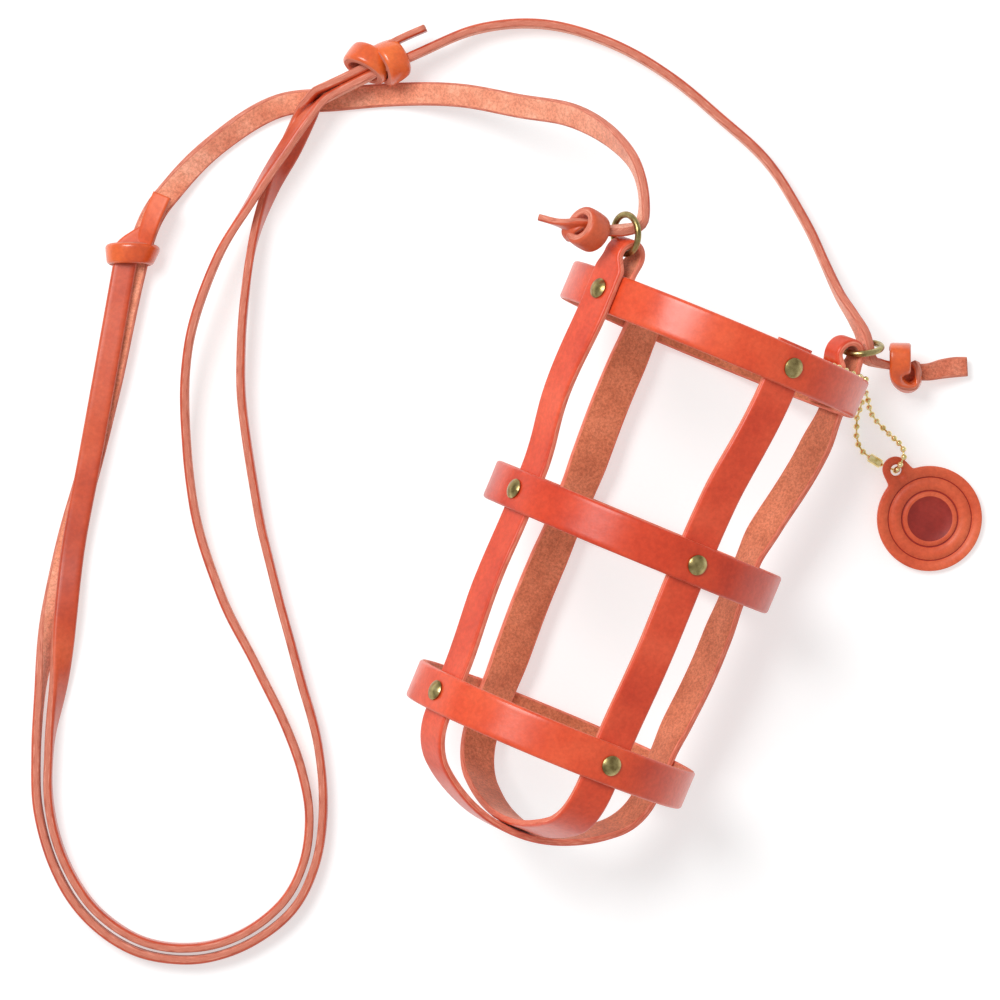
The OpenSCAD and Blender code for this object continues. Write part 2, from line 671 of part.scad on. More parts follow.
module lower_sliding_knot() {
    color(LEATHER) {
        translate(LOWER_KNOT_AT) rotate([0, 0, lower_knot_dir - 90]) rotate([-90, 0, 0])
            knot_wraps(lower_slot_w, lower_slot_h, lower_knot_len, LOWER_TILTS);
        strip(route_stations(LOWER_HUMP, lace_w, lace_t));
        strip(route_stations(LOWER_TAIL, lace_w, lace_t));
    }
}

// Places at equal steps along a line of points
function step_lengths(line) = [for (i = [1:len(line) - 1]) norm(line[i] - line[i - 1])];
function place_along(line, steps, s, i = 0) =
    i >= len(steps) - 1 || s <= steps[i]
        ? mix(line[i], line[i + 1], s / steps[i])
        : place_along(line, steps, s - steps[i], i + 1);
function bead_places(line, pitch) =
    let (steps = step_lengths(line), total = sum(steps, len(steps)), count = floor(total / pitch))
    [for (i = [0:count]) place_along(line, steps, total * i / count)];

// Direction in which the links lie at a bead, between the links before and after it
function link_axis(before, after) = before * after > 0 ? before + after : after - before;

// A strand's places as the floor's frame has them
function hung(strand) = [
    for (p = strand) [hang_at[0] + p[0], hang_at[1] + p[1], mix(chain_low, hang_at[2], p[2])]
];

module bead_run(places, closed = false) {
    count = len(places);
    for (i = [0:count - 1]) {
        into = closed || i > 0 ? unit(places[i] - places[(i + count - 1) % count]) : [0, 0, 0];
        out = closed || i < count - 1 ? unit(places[(i + 1) % count] - places[i]) : [0, 0, 0];
        translate(places[i]) aimed(link_axis(into, out)) rotate([90, 0, 0])
            sphere(d = bead_d, $fn = BEAD_SIDES);
    }
    for (i = [0:count - (closed ? 1 : 2)]) {
        a = places[i];
        b = places[(i + 1) % count];
        inset = bead_d * link_inset_share;
        translate(a) aimed(b - a) translate([0, 0, inset])
            cylinder(d = link_d, h = norm(b - a) - 2 * inset, $fn = BEAD_SIDES);
    }
}

// The chain's turn round both layers of the right loop's foot
module chain_wrap() {
    corners = [[wrap_out, -wrap_side], [wrap_in, -wrap_side], [wrap_in, wrap_side], [wrap_out, wrap_side]];
    places = bead_places([for (i = [0:4]) let (c = corners[i % 4]) [c[0], wrap_y, c[1]]], bead_pitch);
    color(GOLD) cage() facing(right_loop_dir)
        bead_run([for (i = [0:len(places) - 2]) places[i]], closed = true);
}

// One run of beads: up the left strand to the turn round the strap, and down the right strand
module ball_chain() {
    left = bead_places(hung(LEFT_STRAND), bead_pitch);
    right = bead_places(hung(RIGHT_STRAND), bead_pitch);
    color(GOLD) bead_run(concat(reversed(left), [for (i = [1:len(right) - 1]) right[i]]));
}

module chain_connector() {
    left_end = hung(LEFT_STRAND)[len(LEFT_STRAND) - 1];
    right_end = hung(RIGHT_STRAND)[len(RIGHT_STRAND) - 1];
    color(GOLD) translate((left_end + right_end) / 2) aimed(right_end - left_end) difference() {
        cylinder(d = connector_d, h = connector_len, center = true);
        cylinder(d = bead_d + 2 * bead_fit, h = connector_len + 2 * overrun, center = true);
    }
}

module tag() {
    color(LEATHER) translate(ear_at) rotate([0, 0, tag_dir]) rotate([0, tag_slope, 0])
        translate([0, 0, -tag_t]) difference() {
            union() {
                translate([ear_reach, 0, 0]) cylinder(d = tag_d, h = tag_t);
                cylinder(d = ear_w, h = tag_t);
                translate([0, -ear_w / 2, 0]) cube([ear_reach, ear_w, tag_t]);
            }
            translate([0, 0, -overrun]) cylinder(d = ear_hole_d, h = tag_t + 2 * overrun);
            for (share = press_shares)
                translate([ear_reach, 0, tag_t - press_depth]) difference() {
                    cylinder(d = share * tag_d, h = press_depth + overrun);
                    translate([0, 0, -overrun])
                        cylinder(d = share * tag_d - 2 * press_w, h = press_depth + 3 * overrun);
                }
        }
}

top_band();
middle_band();
bottom_band();
looped_strap();
plain_strap();
top_rivet_caps();
middle_rivet_caps();
bottom_rivet_caps();
top_rivet_posts();
middle_rivet_posts();
bottom_rivet_posts();
left_ring();
right_ring();
left_lace();
right_lace();
left_stopper_knot();
right_stopper_knot();
upper_sliding_knot();
lower_sliding_knot();
chain_wrap();
ball_chain();
chain_connector();
tag();
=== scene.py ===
import math
import bpy
import bmesh
import numpy as np
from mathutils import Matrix, Vector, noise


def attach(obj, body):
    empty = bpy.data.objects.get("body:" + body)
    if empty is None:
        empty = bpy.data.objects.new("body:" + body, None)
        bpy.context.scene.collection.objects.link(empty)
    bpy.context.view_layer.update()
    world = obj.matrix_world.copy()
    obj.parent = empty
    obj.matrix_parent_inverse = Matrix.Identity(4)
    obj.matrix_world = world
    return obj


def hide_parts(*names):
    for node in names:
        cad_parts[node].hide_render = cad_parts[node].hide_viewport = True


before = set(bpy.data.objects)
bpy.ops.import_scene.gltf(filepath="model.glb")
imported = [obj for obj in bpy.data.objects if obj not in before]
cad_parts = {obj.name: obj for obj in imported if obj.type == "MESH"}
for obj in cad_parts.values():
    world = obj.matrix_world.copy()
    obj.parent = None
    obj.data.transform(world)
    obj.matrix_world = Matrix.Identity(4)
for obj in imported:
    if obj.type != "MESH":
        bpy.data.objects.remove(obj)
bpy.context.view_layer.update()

# Camera, straight above the part, as fitted to the bands and straps in the photo
CAMERA_AT = (-0.03407, -0.02386, 1.45)
CAMERA_TURN = 22.5
FOCAL_LENGTH, SENSOR_W = 203.34, 36
SHIFT = (0.0302, 0.073)
camera_data = bpy.data.cameras.new("camera")
camera_data.lens = FOCAL_LENGTH
camera_data.sensor_width = SENSOR_W
camera_data.clip_start = 0.05
camera_data.shift_x, camera_data.shift_y = SHIFT
camera = bpy.data.objects.new("camera", camera_data)
camera.location = CAMERA_AT
camera.rotation_euler = (0, 0, math.radians(CAMERA_TURN))
bpy.context.collection.objects.link(camera)
bpy.context.scene.camera = camera

# Sizes in mm and directions in degrees, as in the part's source
MM = 0.001
# Widths and thicknesses of the bands, straps and laces
BAND_W, BAND_T = 10, 2
STRAP_W, STRAP_T = 10, 1.8
LACE_W, LACE_T = 6, 2.2
# Outer radius of the middle band, and growth from each band to the next one towards the mouth
MID_R, GROWTH = 38.5, 1.3
# Distance from band to band, and depth of the round bottom below the lowest band's middle
PITCH, DEPTH = 53.3, 27
# Radius of the bottom bend, bow of the uprights between two bands, gap where the straps cross
CORNER_R, BOW, CROSS_GAP = 15, 0.8, 0.4
# Looped strap: directions of its left and right uprights, and of its left and right loops
LOOPED_DIR, LOOPED_RIGHT_DIR = 146, 328
LEFT_LOOP_DIR, RIGHT_LOOP_DIR = 139.5, 329
# Plain strap: directions of its right upright at the lower bands and at the top band, and of its left one
PLAIN_DIR, PLAIN_TOP_DIR, PLAIN_FAR_DIR = 64.8, 60.5, 241.5
# Extra turn towards the floor of the uprights on the floor side, and the same between the two upper bands
FLOOR_ROLL, UPPER_ROLL = 9, 14
# Part of the way between the two upper bands in which an upright turns to its direction at the top band:
# from and to shares of it, for the uprights on the floor side and for those above them
FAR_TURN, NEAR_TURN = (0, 1), (0.25, 1)
# Folded loops: height above the top band's middle, width, inner radius, length of the end below that middle
LOOP_RISE, LOOP_W, FOLD_R, RETURN_LEN = 14.3, 6, 2.7, 4
# How far a fold stands out past the strap's line, as a share of the band's thickness
FOLD_BULGE = 0.36
# How far the plain strap's ends stand above the top band
OVERRUN = 0.7
# Gap between a strap and a band
SEAT = 0.03

TOP_R = MID_R + GROWTH
BOTTOM_R = MID_R - GROWTH
HALF_BAND = BAND_W / 2
# The cage lies on its bands: its tilt, and the height of its axis at the middle band
TILT = math.atan(GROWTH / PITCH)
HEIGHT = MID_R * math.cos(TILT) + HALF_BAND * math.sin(TILT)
# Tag: disc, ear and its hole, place of the hole on the upper face, direction and slope of the tag from there
TAG_D, TAG_T, EAR_W, EAR_HOLE_D = 27, 2, 7, 3
EAR_AT = np.array([56.688, 42.179, 5.168])
TAG_DIR, TAG_SLOPE = math.radians(-32.4), math.radians(6.0257)
EAR_REACH = TAG_D / 2 + EAR_W / 4

# Routes of the laces, as in the part's source: a place, and the lean of the strip in degrees
LEFT_ROUTE = [
    [-35.6, 66, 69, 107], [-31, 68.4, 66.6, 107], [-28.2, 71.5, 64.1, 103], [-29.6, 77.3, 62.1, 96],
    [-34.6, 84.4, 59.3, 100], [-42, 89, 52, 122], [-54, 91.7, 37.5, 155], [-67.9, 89.8, 24, 170],
    [-82.8, 87.5, 12.5, 175], [-97.6, 82.6, 2.2, 180], [-111.5, 75.6, 1.3, 180], [-125.5, 67.7, 2, 165],
    [-136.4, 52.3, 2.8, 145], [-142, 38.3, 3.5, 165], [-144.2, 27.4, 3.9, 180], [-137.4, -15.8, 3.9, 180],
    [-134.6, -35.2, 2.2, 180], [-132.4, -55.1, 1.3, 180], [-129.2, -73, 2.2, 160], [-127.2, -82.4, 3.2, 130],
    [-125, -91.4, 3.4, 100], [-119.5, -107.8, 3.2, 90], [-113, -122.2, 3.2, 90], [-103.1, -134.6, 3.2, 90],
    [-90.7, -143.1, 3.2, 90], [-75.3, -146.1, 3.2, 90], [-60.8, -142.1, 3.2, 90], [-49.9, -133.2, 3.2, 90],
    [-42.9, -120.7, 3.2, 90], [-42, -108.3, 3.2, 90], [-44.9, -95.9, 3.2, 90], [-52.4, -80.5, 3.2, 90],
    [-63.3, -66, 3.2, 90], [-76.8, -48.6, 3.2, 90], [-87.7, -33.7, 3.2, 90], [-97.1, -18.8, 4, 90],
    [-106.1, -2.9, 5.5, 90], [-112.6, 14.4, 7, 90], [-117.6, 32.4, 6, 90], [-118.8, 48.3, 3.8, 60],
    [-118.1, 60.2, 2.6, 20], [-117.7, 69.2, 3, 25], [-117.1, 74.8, 8, 85], [-115.5, 76.6, 8.5, 90],
    [-102.5, 91.3, 8.5, 90]
]
RIGHT_ROUTE = [
    [44.7, 65.9, 12.5, 86], [41.7, 65.2, 14.2, 90], [39, 65.1, 16.2, 103], [37, 67.2, 17.6, 115],
    [35.1, 69.9, 17.9, 112], [31.1, 73.4, 15.4, 102], [25.9, 77.7, 10.6, 95], [18.9, 84.6, 6.1, 90],
    [11.3, 91.8, 3.8, 90], [-3.7, 102.5, 3.2, 90], [-19.6, 108.4, 3.2, 90], [-36, 113.4, 3.2, 90],
    [-52.9, 115.4, 3.2, 90], [-69.8, 113.4, 3.4, 90], [-84.7, 106, 5, 90], [-96.6, 94.1, 8.5, 90],
    [-113.6, 75, 8.5, 90], [-115.1, 72.9, 8.9, 85], [-117.6, 65.7, 10.2, 65], [-119.4, 57.2, 10.4, 65],
    [-121.6, 43.8, 10.5, 80], [-124.1, 26.3, 12, 90], [-123.6, 9.4, 12, 90], [-120.6, -4.5, 9.5, 90],
    [-112.6, -23.3, 5, 90], [-103.1, -39.2, 3.2, 90], [-90.2, -54.1, 3.2, 90], [-75.8, -66.5, 3.2, 90],
    [-62.3, -78.5, 3.2, 90], [-53.9, -87.9, 3.2, 90], [-48.3, -97, 3.2, 90], [-45.1, -108.6, 3.2, 90],
    [-45.9, -119.7, 3.2, 90], [-52.3, -131.2, 3.2, 90], [-62.2, -139.3, 3.2, 90], [-75.4, -143, 3.2, 90],
    [-89.5, -140.2, 3.2, 90], [-101, -132.4, 3.2, 90], [-110.5, -120.6, 3.2, 90], [-116.5, -106.3, 3.2, 90],
    [-120.5, -89.9, 4, 55], [-125.5, -73.5, 4.8, 10], [-130.5, -56.1, 4.2, 0], [-134.9, -34.8, 5.3, 0],
    [-138.9, -15.9, 6.5, 0], [-146.4, 18.4, 6.5, 0]
]


def inside_r(r):
    """Distance from the axis to the middle of a strap that lies inside a band of outer radius r."""
    return math.sqrt((r - BAND_T) ** 2 - (STRAP_W / 2) ** 2) - SEAT - STRAP_T / 2


def outside_r(r):
    """The same for a strap that lies outside the band."""
    return r + SEAT + STRAP_T / 2


# Middle of the folds, and radius of their middle line
FOLD_MID = FOLD_R + STRAP_T / 2
FOLD_Y = PITCH + LOOP_RISE - FOLD_R - STRAP_T
FOLD_X = outside_r(TOP_R) + FOLD_BULGE * BAND_T - FOLD_MID

# Materials
# Sockets of a Mix node, by number because its names repeat: the share, the two colours and the result
MIX_SHARE, MIX_A, MIX_B, MIX_RESULT = 0, 6, 7, 2


def fill(node, **values):
    """Sets a node's sockets by their names, written with _ for a space."""
    for name, value in values.items():
        node.inputs[name.replace("_", " ")].default_value = value
    return node


def linear(colour):
    """Linear colour from 8-bit sRGB."""
    shares = [c / 255 for c in colour]
    return tuple(c / 12.92 if c <= 0.04045 else ((c + 0.055) / 1.055) ** 2.4 for c in shares)


class Shader:
    """A material with short calls for the nodes that its look is made of; scales are per metre."""

    def __init__(self, name):
        self.mat = bpy.data.materials.new(name)
        self.mat.use_nodes = True
        self.tree = self.mat.node_tree
        self.bsdf = self.tree.nodes["Principled BSDF"]
        self.coord = self.tree.nodes.new("ShaderNodeTexCoord")

    def node(self, kind, **values):
        return fill(self.tree.nodes.new("ShaderNode" + kind), **values)

    def link(self, source, target):
        self.tree.links.new(source, target)

    def noise(self, scale, detail, rough=0.55, place=None):
        n = self.node("TexNoise", Scale=scale, Detail=detail, Roughness=rough)
        self.link(self.coord.outputs["Object"] if place is None else place, n.inputs["Vector"])
        return n.outputs["Fac"]

    def across_strip(self, stretch):
        """The strip's own run and girth, stretched along the girth, as the place for a noise."""
        n = self.node("Mapping", Scale=(1, stretch, 1))
        self.link(self.coord.outputs["UV"], n.inputs["Vector"])
        return n.outputs["Vector"]

    def cells(self, scale):
        """Distance to the nearest border between small cells."""
        n = self.node("TexVoronoi", Scale=scale)
        n.feature = "DISTANCE_TO_EDGE"
        self.link(self.coord.outputs["Object"], n.inputs["Vector"])
        return n.outputs["Distance"]

    def ramp(self, source, positions, colours):
        n = self.node("ValToRGB")
        stops = n.color_ramp.elements
        while len(stops) < len(colours):
            stops.new(0.5)
        for stop, position, colour in zip(stops, positions, colours):
            stop.position = position
            stop.color = (*colour, 1)
        self.link(source, n.inputs["Fac"])
        return n.outputs["Color"]

    def dye(self, source, positions, colours):
        """A ramp over colours that are given as 8-bit sRGB."""
        return self.ramp(source, positions, [linear(c) for c in colours])

    def multiply(self, share, colour, shade):
        n = self.node("Mix")
        n.data_type = "RGBA"
        n.blend_type = "MULTIPLY"
        n.inputs[MIX_SHARE].default_value = share
        self.link(colour, n.inputs[MIX_A])
        self.link(shade, n.inputs[MIX_B])
        return n.outputs[MIX_RESULT]

    def span(self, source, low, high):
        """The source's 0 to 1 as low to high."""
        n = self.node("MapRange", To_Min=low, To_Max=high)
        self.link(source, n.inputs["Value"])
        return n.outputs[0]

    def bump(self, *parts):
        """Chains bumps, each a height, its strength and its distance in metres."""
        normal = None
        for height, strength, distance in parts:
            n = self.node("Bump", Strength=strength, Distance=distance)
            self.link(height, n.inputs["Height"])
            if normal:
                self.link(normal, n.inputs["Normal"])
            normal = n.outputs["Normal"]
        self.link(normal, self.bsdf.inputs["Normal"])


def grain_leather(name, colours, rough=0.31, coat=0.1, coat_rough=0.24):
    """The smooth side: mottled dye, from deep to pale, under a finish with fine pebbles and pores."""
    s = Shader(name)
    dye = s.dye(s.noise(scale=70, detail=4), (0.3, 0.5, 0.72), colours)
    mottle = s.ramp(s.noise(scale=900, detail=5, rough=0.6), (0.35, 0.65),
                    ((0.86, 0.82, 0.80), (1.06, 1.05, 1.05)))
    s.link(s.multiply(0.8, dye, mottle), s.bsdf.inputs["Base Color"])
    s.link(s.span(s.noise(scale=400, detail=4), rough - 0.06, rough + 0.1), s.bsdf.inputs["Roughness"])
    fill(s.bsdf, Coat_Weight=coat, Coat_Roughness=coat_rough, Specular_IOR_Level=0.36)
    pebbles = s.cells(scale=1500)
    pores = s.noise(scale=2600, detail=4, rough=0.7)
    waves = s.noise(scale=160, detail=3)
    s.bump((pebbles, 0.10, 0.00012), (pores, 0.12, 0.00008), (waves, 0.12, 0.0006))
    return s.mat


def suede_leather(name, colours):
    """The rough side: a soft nap of fibres."""
    s = Shader(name)
    nap = s.noise(scale=1400, detail=6, rough=0.75)
    dye = s.dye(s.noise(scale=110, detail=4, rough=0.6), (0.3, 0.52, 0.75), colours)
    fibres = s.ramp(nap, (0.38, 0.6), ((0.62, 0.56, 0.53), (1.14, 1.14, 1.14)))
    s.link(s.multiply(0.8, dye, fibres), s.bsdf.inputs["Base Color"])
    fill(s.bsdf, Roughness=0.95, Sheen_Weight=0.25, Sheen_Roughness=0.6, Specular_IOR_Level=0.2)
    s.bump((nap, 0.45, 0.0002), (s.noise(scale=420, detail=4), 0.2, 0.0004))
    return s.mat


def cut_edge(name, colours):
    """The cut side: layers that run along the strip."""
    s = Shader(name)
    layers = s.noise(scale=300, detail=5, rough=0.65, place=s.across_strip(stretch=9))
    s.link(s.dye(layers, (0.3, 0.5, 0.7), colours), s.bsdf.inputs["Base Color"])
    fill(s.bsdf, Roughness=0.7, Specular_IOR_Level=0.3)
    s.bump((layers, 0.35, 0.0002), (s.noise(scale=1800, detail=4, rough=0.7), 0.2, 0.00015))
    return s.mat


def metal(name, colours, rough, patina):
    """Brass with darker spots; patina is how slowly they fade into the middle colour."""
    s = Shader(name)
    dark = 0.36
    spots = s.noise(scale=420, detail=3, rough=0.5)
    s.link(s.dye(spots, (dark, dark + patina, 0.8), colours), s.bsdf.inputs["Base Color"])
    s.link(s.span(s.noise(scale=1500, detail=4), rough - 0.07, rough + 0.12), s.bsdf.inputs["Roughness"])
    fill(s.bsdf, Metallic=1.0)
    s.bump((s.noise(scale=900, detail=3, rough=0.5), 0.06, 0.0001))
    return s.mat


GRAIN = grain_leather("grain", ((203, 63, 33), (220, 78, 42), (230, 93, 56)), rough=0.3, coat=0.26)
GRAIN_MIDDLE = grain_leather("grain_middle", ((190, 54, 28), (207, 66, 36), (218, 80, 48)))
GRAIN_STRAP = grain_leather("grain_strap", ((203, 64, 37), (218, 78, 47), (228, 92, 60)))
SUEDE = suede_leather("suede", ((192, 104, 70), (212, 122, 86), (228, 138, 102)))
EDGE = cut_edge("edge", ((196, 92, 70), (226, 122, 96), (244, 160, 136)))
LACE_GRAIN = grain_leather("lace_grain", ((180, 60, 28), (198, 74, 38), (212, 92, 54)),
                           rough=0.34, coat=0.45, coat_rough=0.34)
LACE_SUEDE = suede_leather("lace_suede", ((220, 130, 98), (240, 158, 126), (250, 184, 156)))
LACE_EDGE = cut_edge("lace_edge", ((166, 82, 62), (206, 120, 97), (230, 156, 134)))
KNOT_GRAIN = grain_leather("knot_grain", ((204, 74, 20), (222, 92, 30), (234, 112, 44)),
                           rough=0.34, coat=0.9, coat_rough=0.22)
KNOT_FLAT = grain_leather("knot_flat", ((200, 72, 32), (216, 88, 44), (228, 106, 62)), rough=0.45, coat=0.06)
# Darker copy of the knot leather, which paints shade on the left stopper knot
KNOT_PAINTED_SHADE = grain_leather("knot_painted_shade", ((178, 64, 32), (196, 78, 42), (210, 94, 56)),
                          rough=0.4, coat=0.2, coat_rough=0.3)
KNOT_SUEDE = suede_leather("knot_suede", ((190, 94, 68), (214, 118, 88), (232, 146, 116)))
TAG_GRAIN = grain_leather("tag_grain", ((212, 84, 50), (226, 100, 62), (238, 120, 80)), rough=0.45, coat=0.05)
# Dark dye of the tag's pressed centre, also used as painted shade on the floors of its two pressed circles
TAG_DARK_CENTRE_AND_GROOVE_SHADE = grain_leather("tag_dark_centre_and_groove_shade", ((142, 36, 28), (158, 44, 34), (172, 56, 44)), rough=0.5, coat=0.04)
ANTIQUE = metal("antique_brass", ((128, 112, 70), (172, 156, 104), (208, 196, 146)), rough=0.27, patina=0.2)
GOLD = metal("chain_brass", ((214, 190, 112), (246, 230, 164), (254, 246, 206)), rough=0.24, patina=0.1)

# Materials of the strips and the tag, in the order of the zones: smooth, rough, cut edge, dark centre; the
# dark centre's dye also paints shade on the floors of the tag's two pressed circles
ZONE_GRAIN, ZONE_SUEDE, ZONE_EDGE, ZONE_DARK_CENTRE_AND_GROOVE_SHADE = range(4)
STRAP_MATS = (GRAIN_STRAP, SUEDE, EDGE)
BAND_MATS = (GRAIN, SUEDE, EDGE)
MIDDLE_MATS = (GRAIN_MIDDLE, SUEDE, EDGE)
LACE_MATS = (LACE_GRAIN, LACE_SUEDE, LACE_EDGE)
KNOT_MATS = (KNOT_GRAIN, KNOT_SUEDE, LACE_EDGE)
FLAT_MATS = (KNOT_FLAT, KNOT_SUEDE, LACE_EDGE)
PAINTED_SHADE_KNOT_MATS = (KNOT_PAINTED_SHADE, KNOT_SUEDE, LACE_EDGE)
TAG_MATS = (TAG_GRAIN, SUEDE, EDGE, TAG_DARK_CENTRE_AND_GROOVE_SHADE)

# Geometry that the pieces share, in mm: P is a strip's middle line, T the direction in which it runs,
# W that of its width, and N that which its smooth side faces
# Share of a strip's thickness that its edge is rounded by, on the smooth side and on the rough side
ROUND_TOP, ROUND_LOW = 0.42, 0.26
# Waves per mm of the leather's unevenness
WOBBLE_SCALE = 0.09
# Radius of the dent that a rivet presses
DENT_R = 3.4
UP = np.array([0, 0, 1])


def tilted(p):
    """From the cage's own axes to the part's: x across, y along the cage to its mouth, z up."""
    p = np.asarray(p, float)
    c, s = math.cos(TILT), math.sin(TILT)
    return np.stack([p[..., 0], p[..., 1] * c - p[..., 2] * s, p[..., 1] * s + p[..., 2] * c], -1)


def placed(p):
    return tilted(p) + HEIGHT * UP


def unit(v):
    v = np.asarray(v, float)
    return v / np.maximum(np.linalg.norm(v, axis=-1, keepdims=True), 1e-12)


def spoke(a):
    """Directions out from the cage's axis at angles in radians, from the right side over the top."""
    return np.stack([np.cos(a), np.zeros_like(a), np.sin(a)], -1)


def run_length(points):
    """How far along the line each point lies."""
    return np.concatenate([[0], np.cumsum(np.linalg.norm(np.diff(points, axis=0), axis=1))])


def resample(rows, step, cuts=16):
    """Rows at even steps along a smooth line; three columns are a place, and the others change with it."""
    p = np.asarray(rows, float)
    t = np.concatenate([[0], np.cumsum(np.sqrt(np.linalg.norm(np.diff(p[:, :3], axis=0), axis=1)))])
    slope = np.zeros_like(p)
    for i in range(1, len(p) - 1):
        a, b = t[i] - t[i - 1], t[i + 1] - t[i]
        slope[i] = ((p[i] - p[i - 1]) / a * b + (p[i + 1] - p[i]) / b * a) / (a + b)
    slope[0] = (p[1] - p[0]) / (t[1] - t[0])
    slope[-1] = (p[-1] - p[-2]) / (t[-1] - t[-2])
    fine = []
    for i in range(len(p) - 1):
        h = t[i + 1] - t[i]
        for u in np.linspace(0, 1, cuts, endpoint=False):
            fine.append((2 * u ** 3 - 3 * u ** 2 + 1) * p[i] + (u ** 3 - 2 * u ** 2 + u) * h * slope[i]
                        + (3 * u ** 2 - 2 * u ** 3) * p[i + 1] + (u ** 3 - u ** 2) * h * slope[i + 1])
    fine = np.array(fine + [p[-1]])
    along = run_length(fine[:, :3])
    want = np.linspace(0, along[-1], max(2, round(along[-1] / step) + 1))
    return np.stack([np.interp(want, along, column) for column in fine.T], -1)


def section(w, t, across, arc=4):
    """Closed section of a strip, anticlockwise: its points, and the zone of the side that starts at each."""
    a, b = w / 2, t / 2
    top, low = min(ROUND_TOP * t, b), min(ROUND_LOW * t, b)

    def corner(x, y, r, start):
        turn = [math.radians(start + 90 * i / arc) for i in range(arc + 1)]
        return [(x + r * math.cos(g), y + r * math.sin(g)) for g in turn]

    def side(x, y):
        return [(x - 2 * x * i / across, y) for i in range(1, across)]

    # The smooth side takes in its two rounded corners, up to the step next to the edge
    points = (corner(a - top, b - top, top, 0) + side(a - top, b) + corner(top - a, b - top, top, 90)
              + corner(low - a, low - b, low, 180) + side(low - a, -b)
              + corner(a - low, low - b, low, 270))
    zones = ([ZONE_EDGE] + [ZONE_GRAIN] * (2 * arc + across - 2) + [ZONE_EDGE] * (arc + 2)
             + [ZONE_SUEDE] * across + [ZONE_EDGE] * (arc + 1))
    return np.array(points), zones


def make_mesh(name, verts, faces, mats, zones, uvs=None):
    mesh = bpy.data.meshes.new(name)
    mesh.from_pydata([tuple(v) for v in np.asarray(verts) * MM], [], faces)
    for m in mats:
        mesh.materials.append(m)
    mesh.polygons.foreach_set("material_index", zones)
    mesh.polygons.foreach_set("use_smooth", [True] * len(mesh.polygons))
    if uvs is not None:
        layer = mesh.uv_layers.new(name="strip")
        corners = np.empty(len(mesh.loops), dtype=np.int32)
        mesh.loops.foreach_get("vertex_index", corners)
        layer.data.foreach_set("uv", (np.asarray(uvs)[corners] * MM).ravel())
    mesh.validate()
    mesh.update()
    ob = bpy.data.objects.new(name, mesh)
    bpy.context.collection.objects.link(ob)
    return ob


def ribbon(name, P, W, N, w, t, mats, closed=False, across=6, dents=(), wobble=0.0, crown=0.0):
    """A strip along P with its width along W and its smooth side towards N.

    dents are (place, depth) pairs, wobble is the height of its unevenness, and crown the rise of its middle.
    """
    P, W, N = (np.asarray(k, float) for k in (P, W, N))
    count = len(P)
    w, t = np.broadcast_to(w, count), np.broadcast_to(t, count)
    run = run_length(P)
    verts, uvs = [], []
    for i in range(count):
        points, zone = section(w[i], t[i], across)
        lift = crown * (1 - (2 * points[:, 0] / w[i]) ** 2)
        verts.append(P[i] + points[:, :1] * W[i] + (points[:, 1:] + lift[:, None]) * N[i])
        uvs += [(run[i], girth) for girth in run_length(points)]
    sides = len(zone)
    verts = np.concatenate(verts)
    facing = np.repeat(N, sides, axis=0)
    for place, depth in dents:
        away = np.linalg.norm(verts - place, axis=1)
        verts = verts - facing * (depth * np.exp(-(away / DENT_R) ** 2))[:, None]
    if wobble:
        waves = np.array([noise.noise(Vector(v * WOBBLE_SCALE)) for v in verts])
        verts = verts + facing * waves[:, None] * wobble
    faces, zones = [], []
    for i in range(count if closed else count - 1):
        this, following = i * sides, (i + 1) % count * sides
        for k in range(sides):
            q = (k + 1) % sides
            faces.append((this + k, following + k, following + q, this + q))
        zones += zone
    if not closed:
        faces.append(tuple(range(sides)))
        faces.append(tuple((count - 1) * sides + k for k in reversed(range(sides))))
        zones += [ZONE_EDGE] * 2
    return make_mesh(name, verts, faces, mats, zones, uvs)


def lace(name, route, w=LACE_W, t=LACE_T, drawn=0.0, step=1.2):
    """A lace along its route, and the points that it follows; its start is drawn in over the length drawn."""
    rows = resample(route, step)
    P, lean = rows[:, :3], np.radians(rows[:, 3])[:, None]
    T = unit(np.gradient(P, axis=0))
    side = unit(np.cross(UP, T))
    W = np.cos(lean) * side + np.sin(lean) * np.cross(T, side)
    if drawn:
        narrowest = 0.64
        w = w * (narrowest + (1 - narrowest) * np.minimum(step * np.arange(len(P)) / drawn, 1))
    return ribbon(name, P, W, np.cross(T, W), w, t, LACE_MATS, wobble=0.12), P


def belt(name, centre, axis, rx, ry, w, mats, crown, flare=(0, 0), steps=72):
    """A closed turn of lace round an axis: rx to its sides, ry up and down, flared on far and near side."""
    axis = unit(axis)
    up = unit(UP - np.dot(UP, axis) * axis)
    side = np.cross(up, axis)
    a = math.tau * np.arange(steps)[:, None] / steps
    outward = np.cos(a) * rx * side + np.sin(a) * ry * up
    P = np.asarray(centre) + outward
    T = unit(np.roll(P, -1, 0) - np.roll(P, 1, 0))
    share = (outward @ side / rx + 1) / 2
    W = axis + (flare[0] + (flare[1] - flare[0]) * share)[:, None] * unit(outward)
    W = unit(W - np.sum(W * T, 1)[:, None] * T)
    N = np.cross(W, T)
    flip = np.sign(np.sum(N * outward, 1))[:, None]
    return ribbon(name, P, W * flip, N * flip, w, LACE_T, mats, closed=True, crown=crown)


def fold_strip(name, t, mats, *rows):
    """A strip through rows of a place, the direction that its smooth side faces there, and its width."""
    r = resample([[*place, *facing, w] for place, facing, w in rows], step=0.5)
    P, N = r[:, :3], r[:, 3:6]
    T = unit(np.gradient(P, axis=0))
    N = unit(N - np.sum(N * T, 1)[:, None] * T)
    return ribbon(name, P, np.cross(N, T), N, r[:, 6], t, mats, wobble=0.05)


def dress(pieces, body, node):
    """Makes the pieces ride on a body and stand for its node, whose CAD shape it hides."""
    for piece in pieces:
        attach(piece, body)
        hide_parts(node)


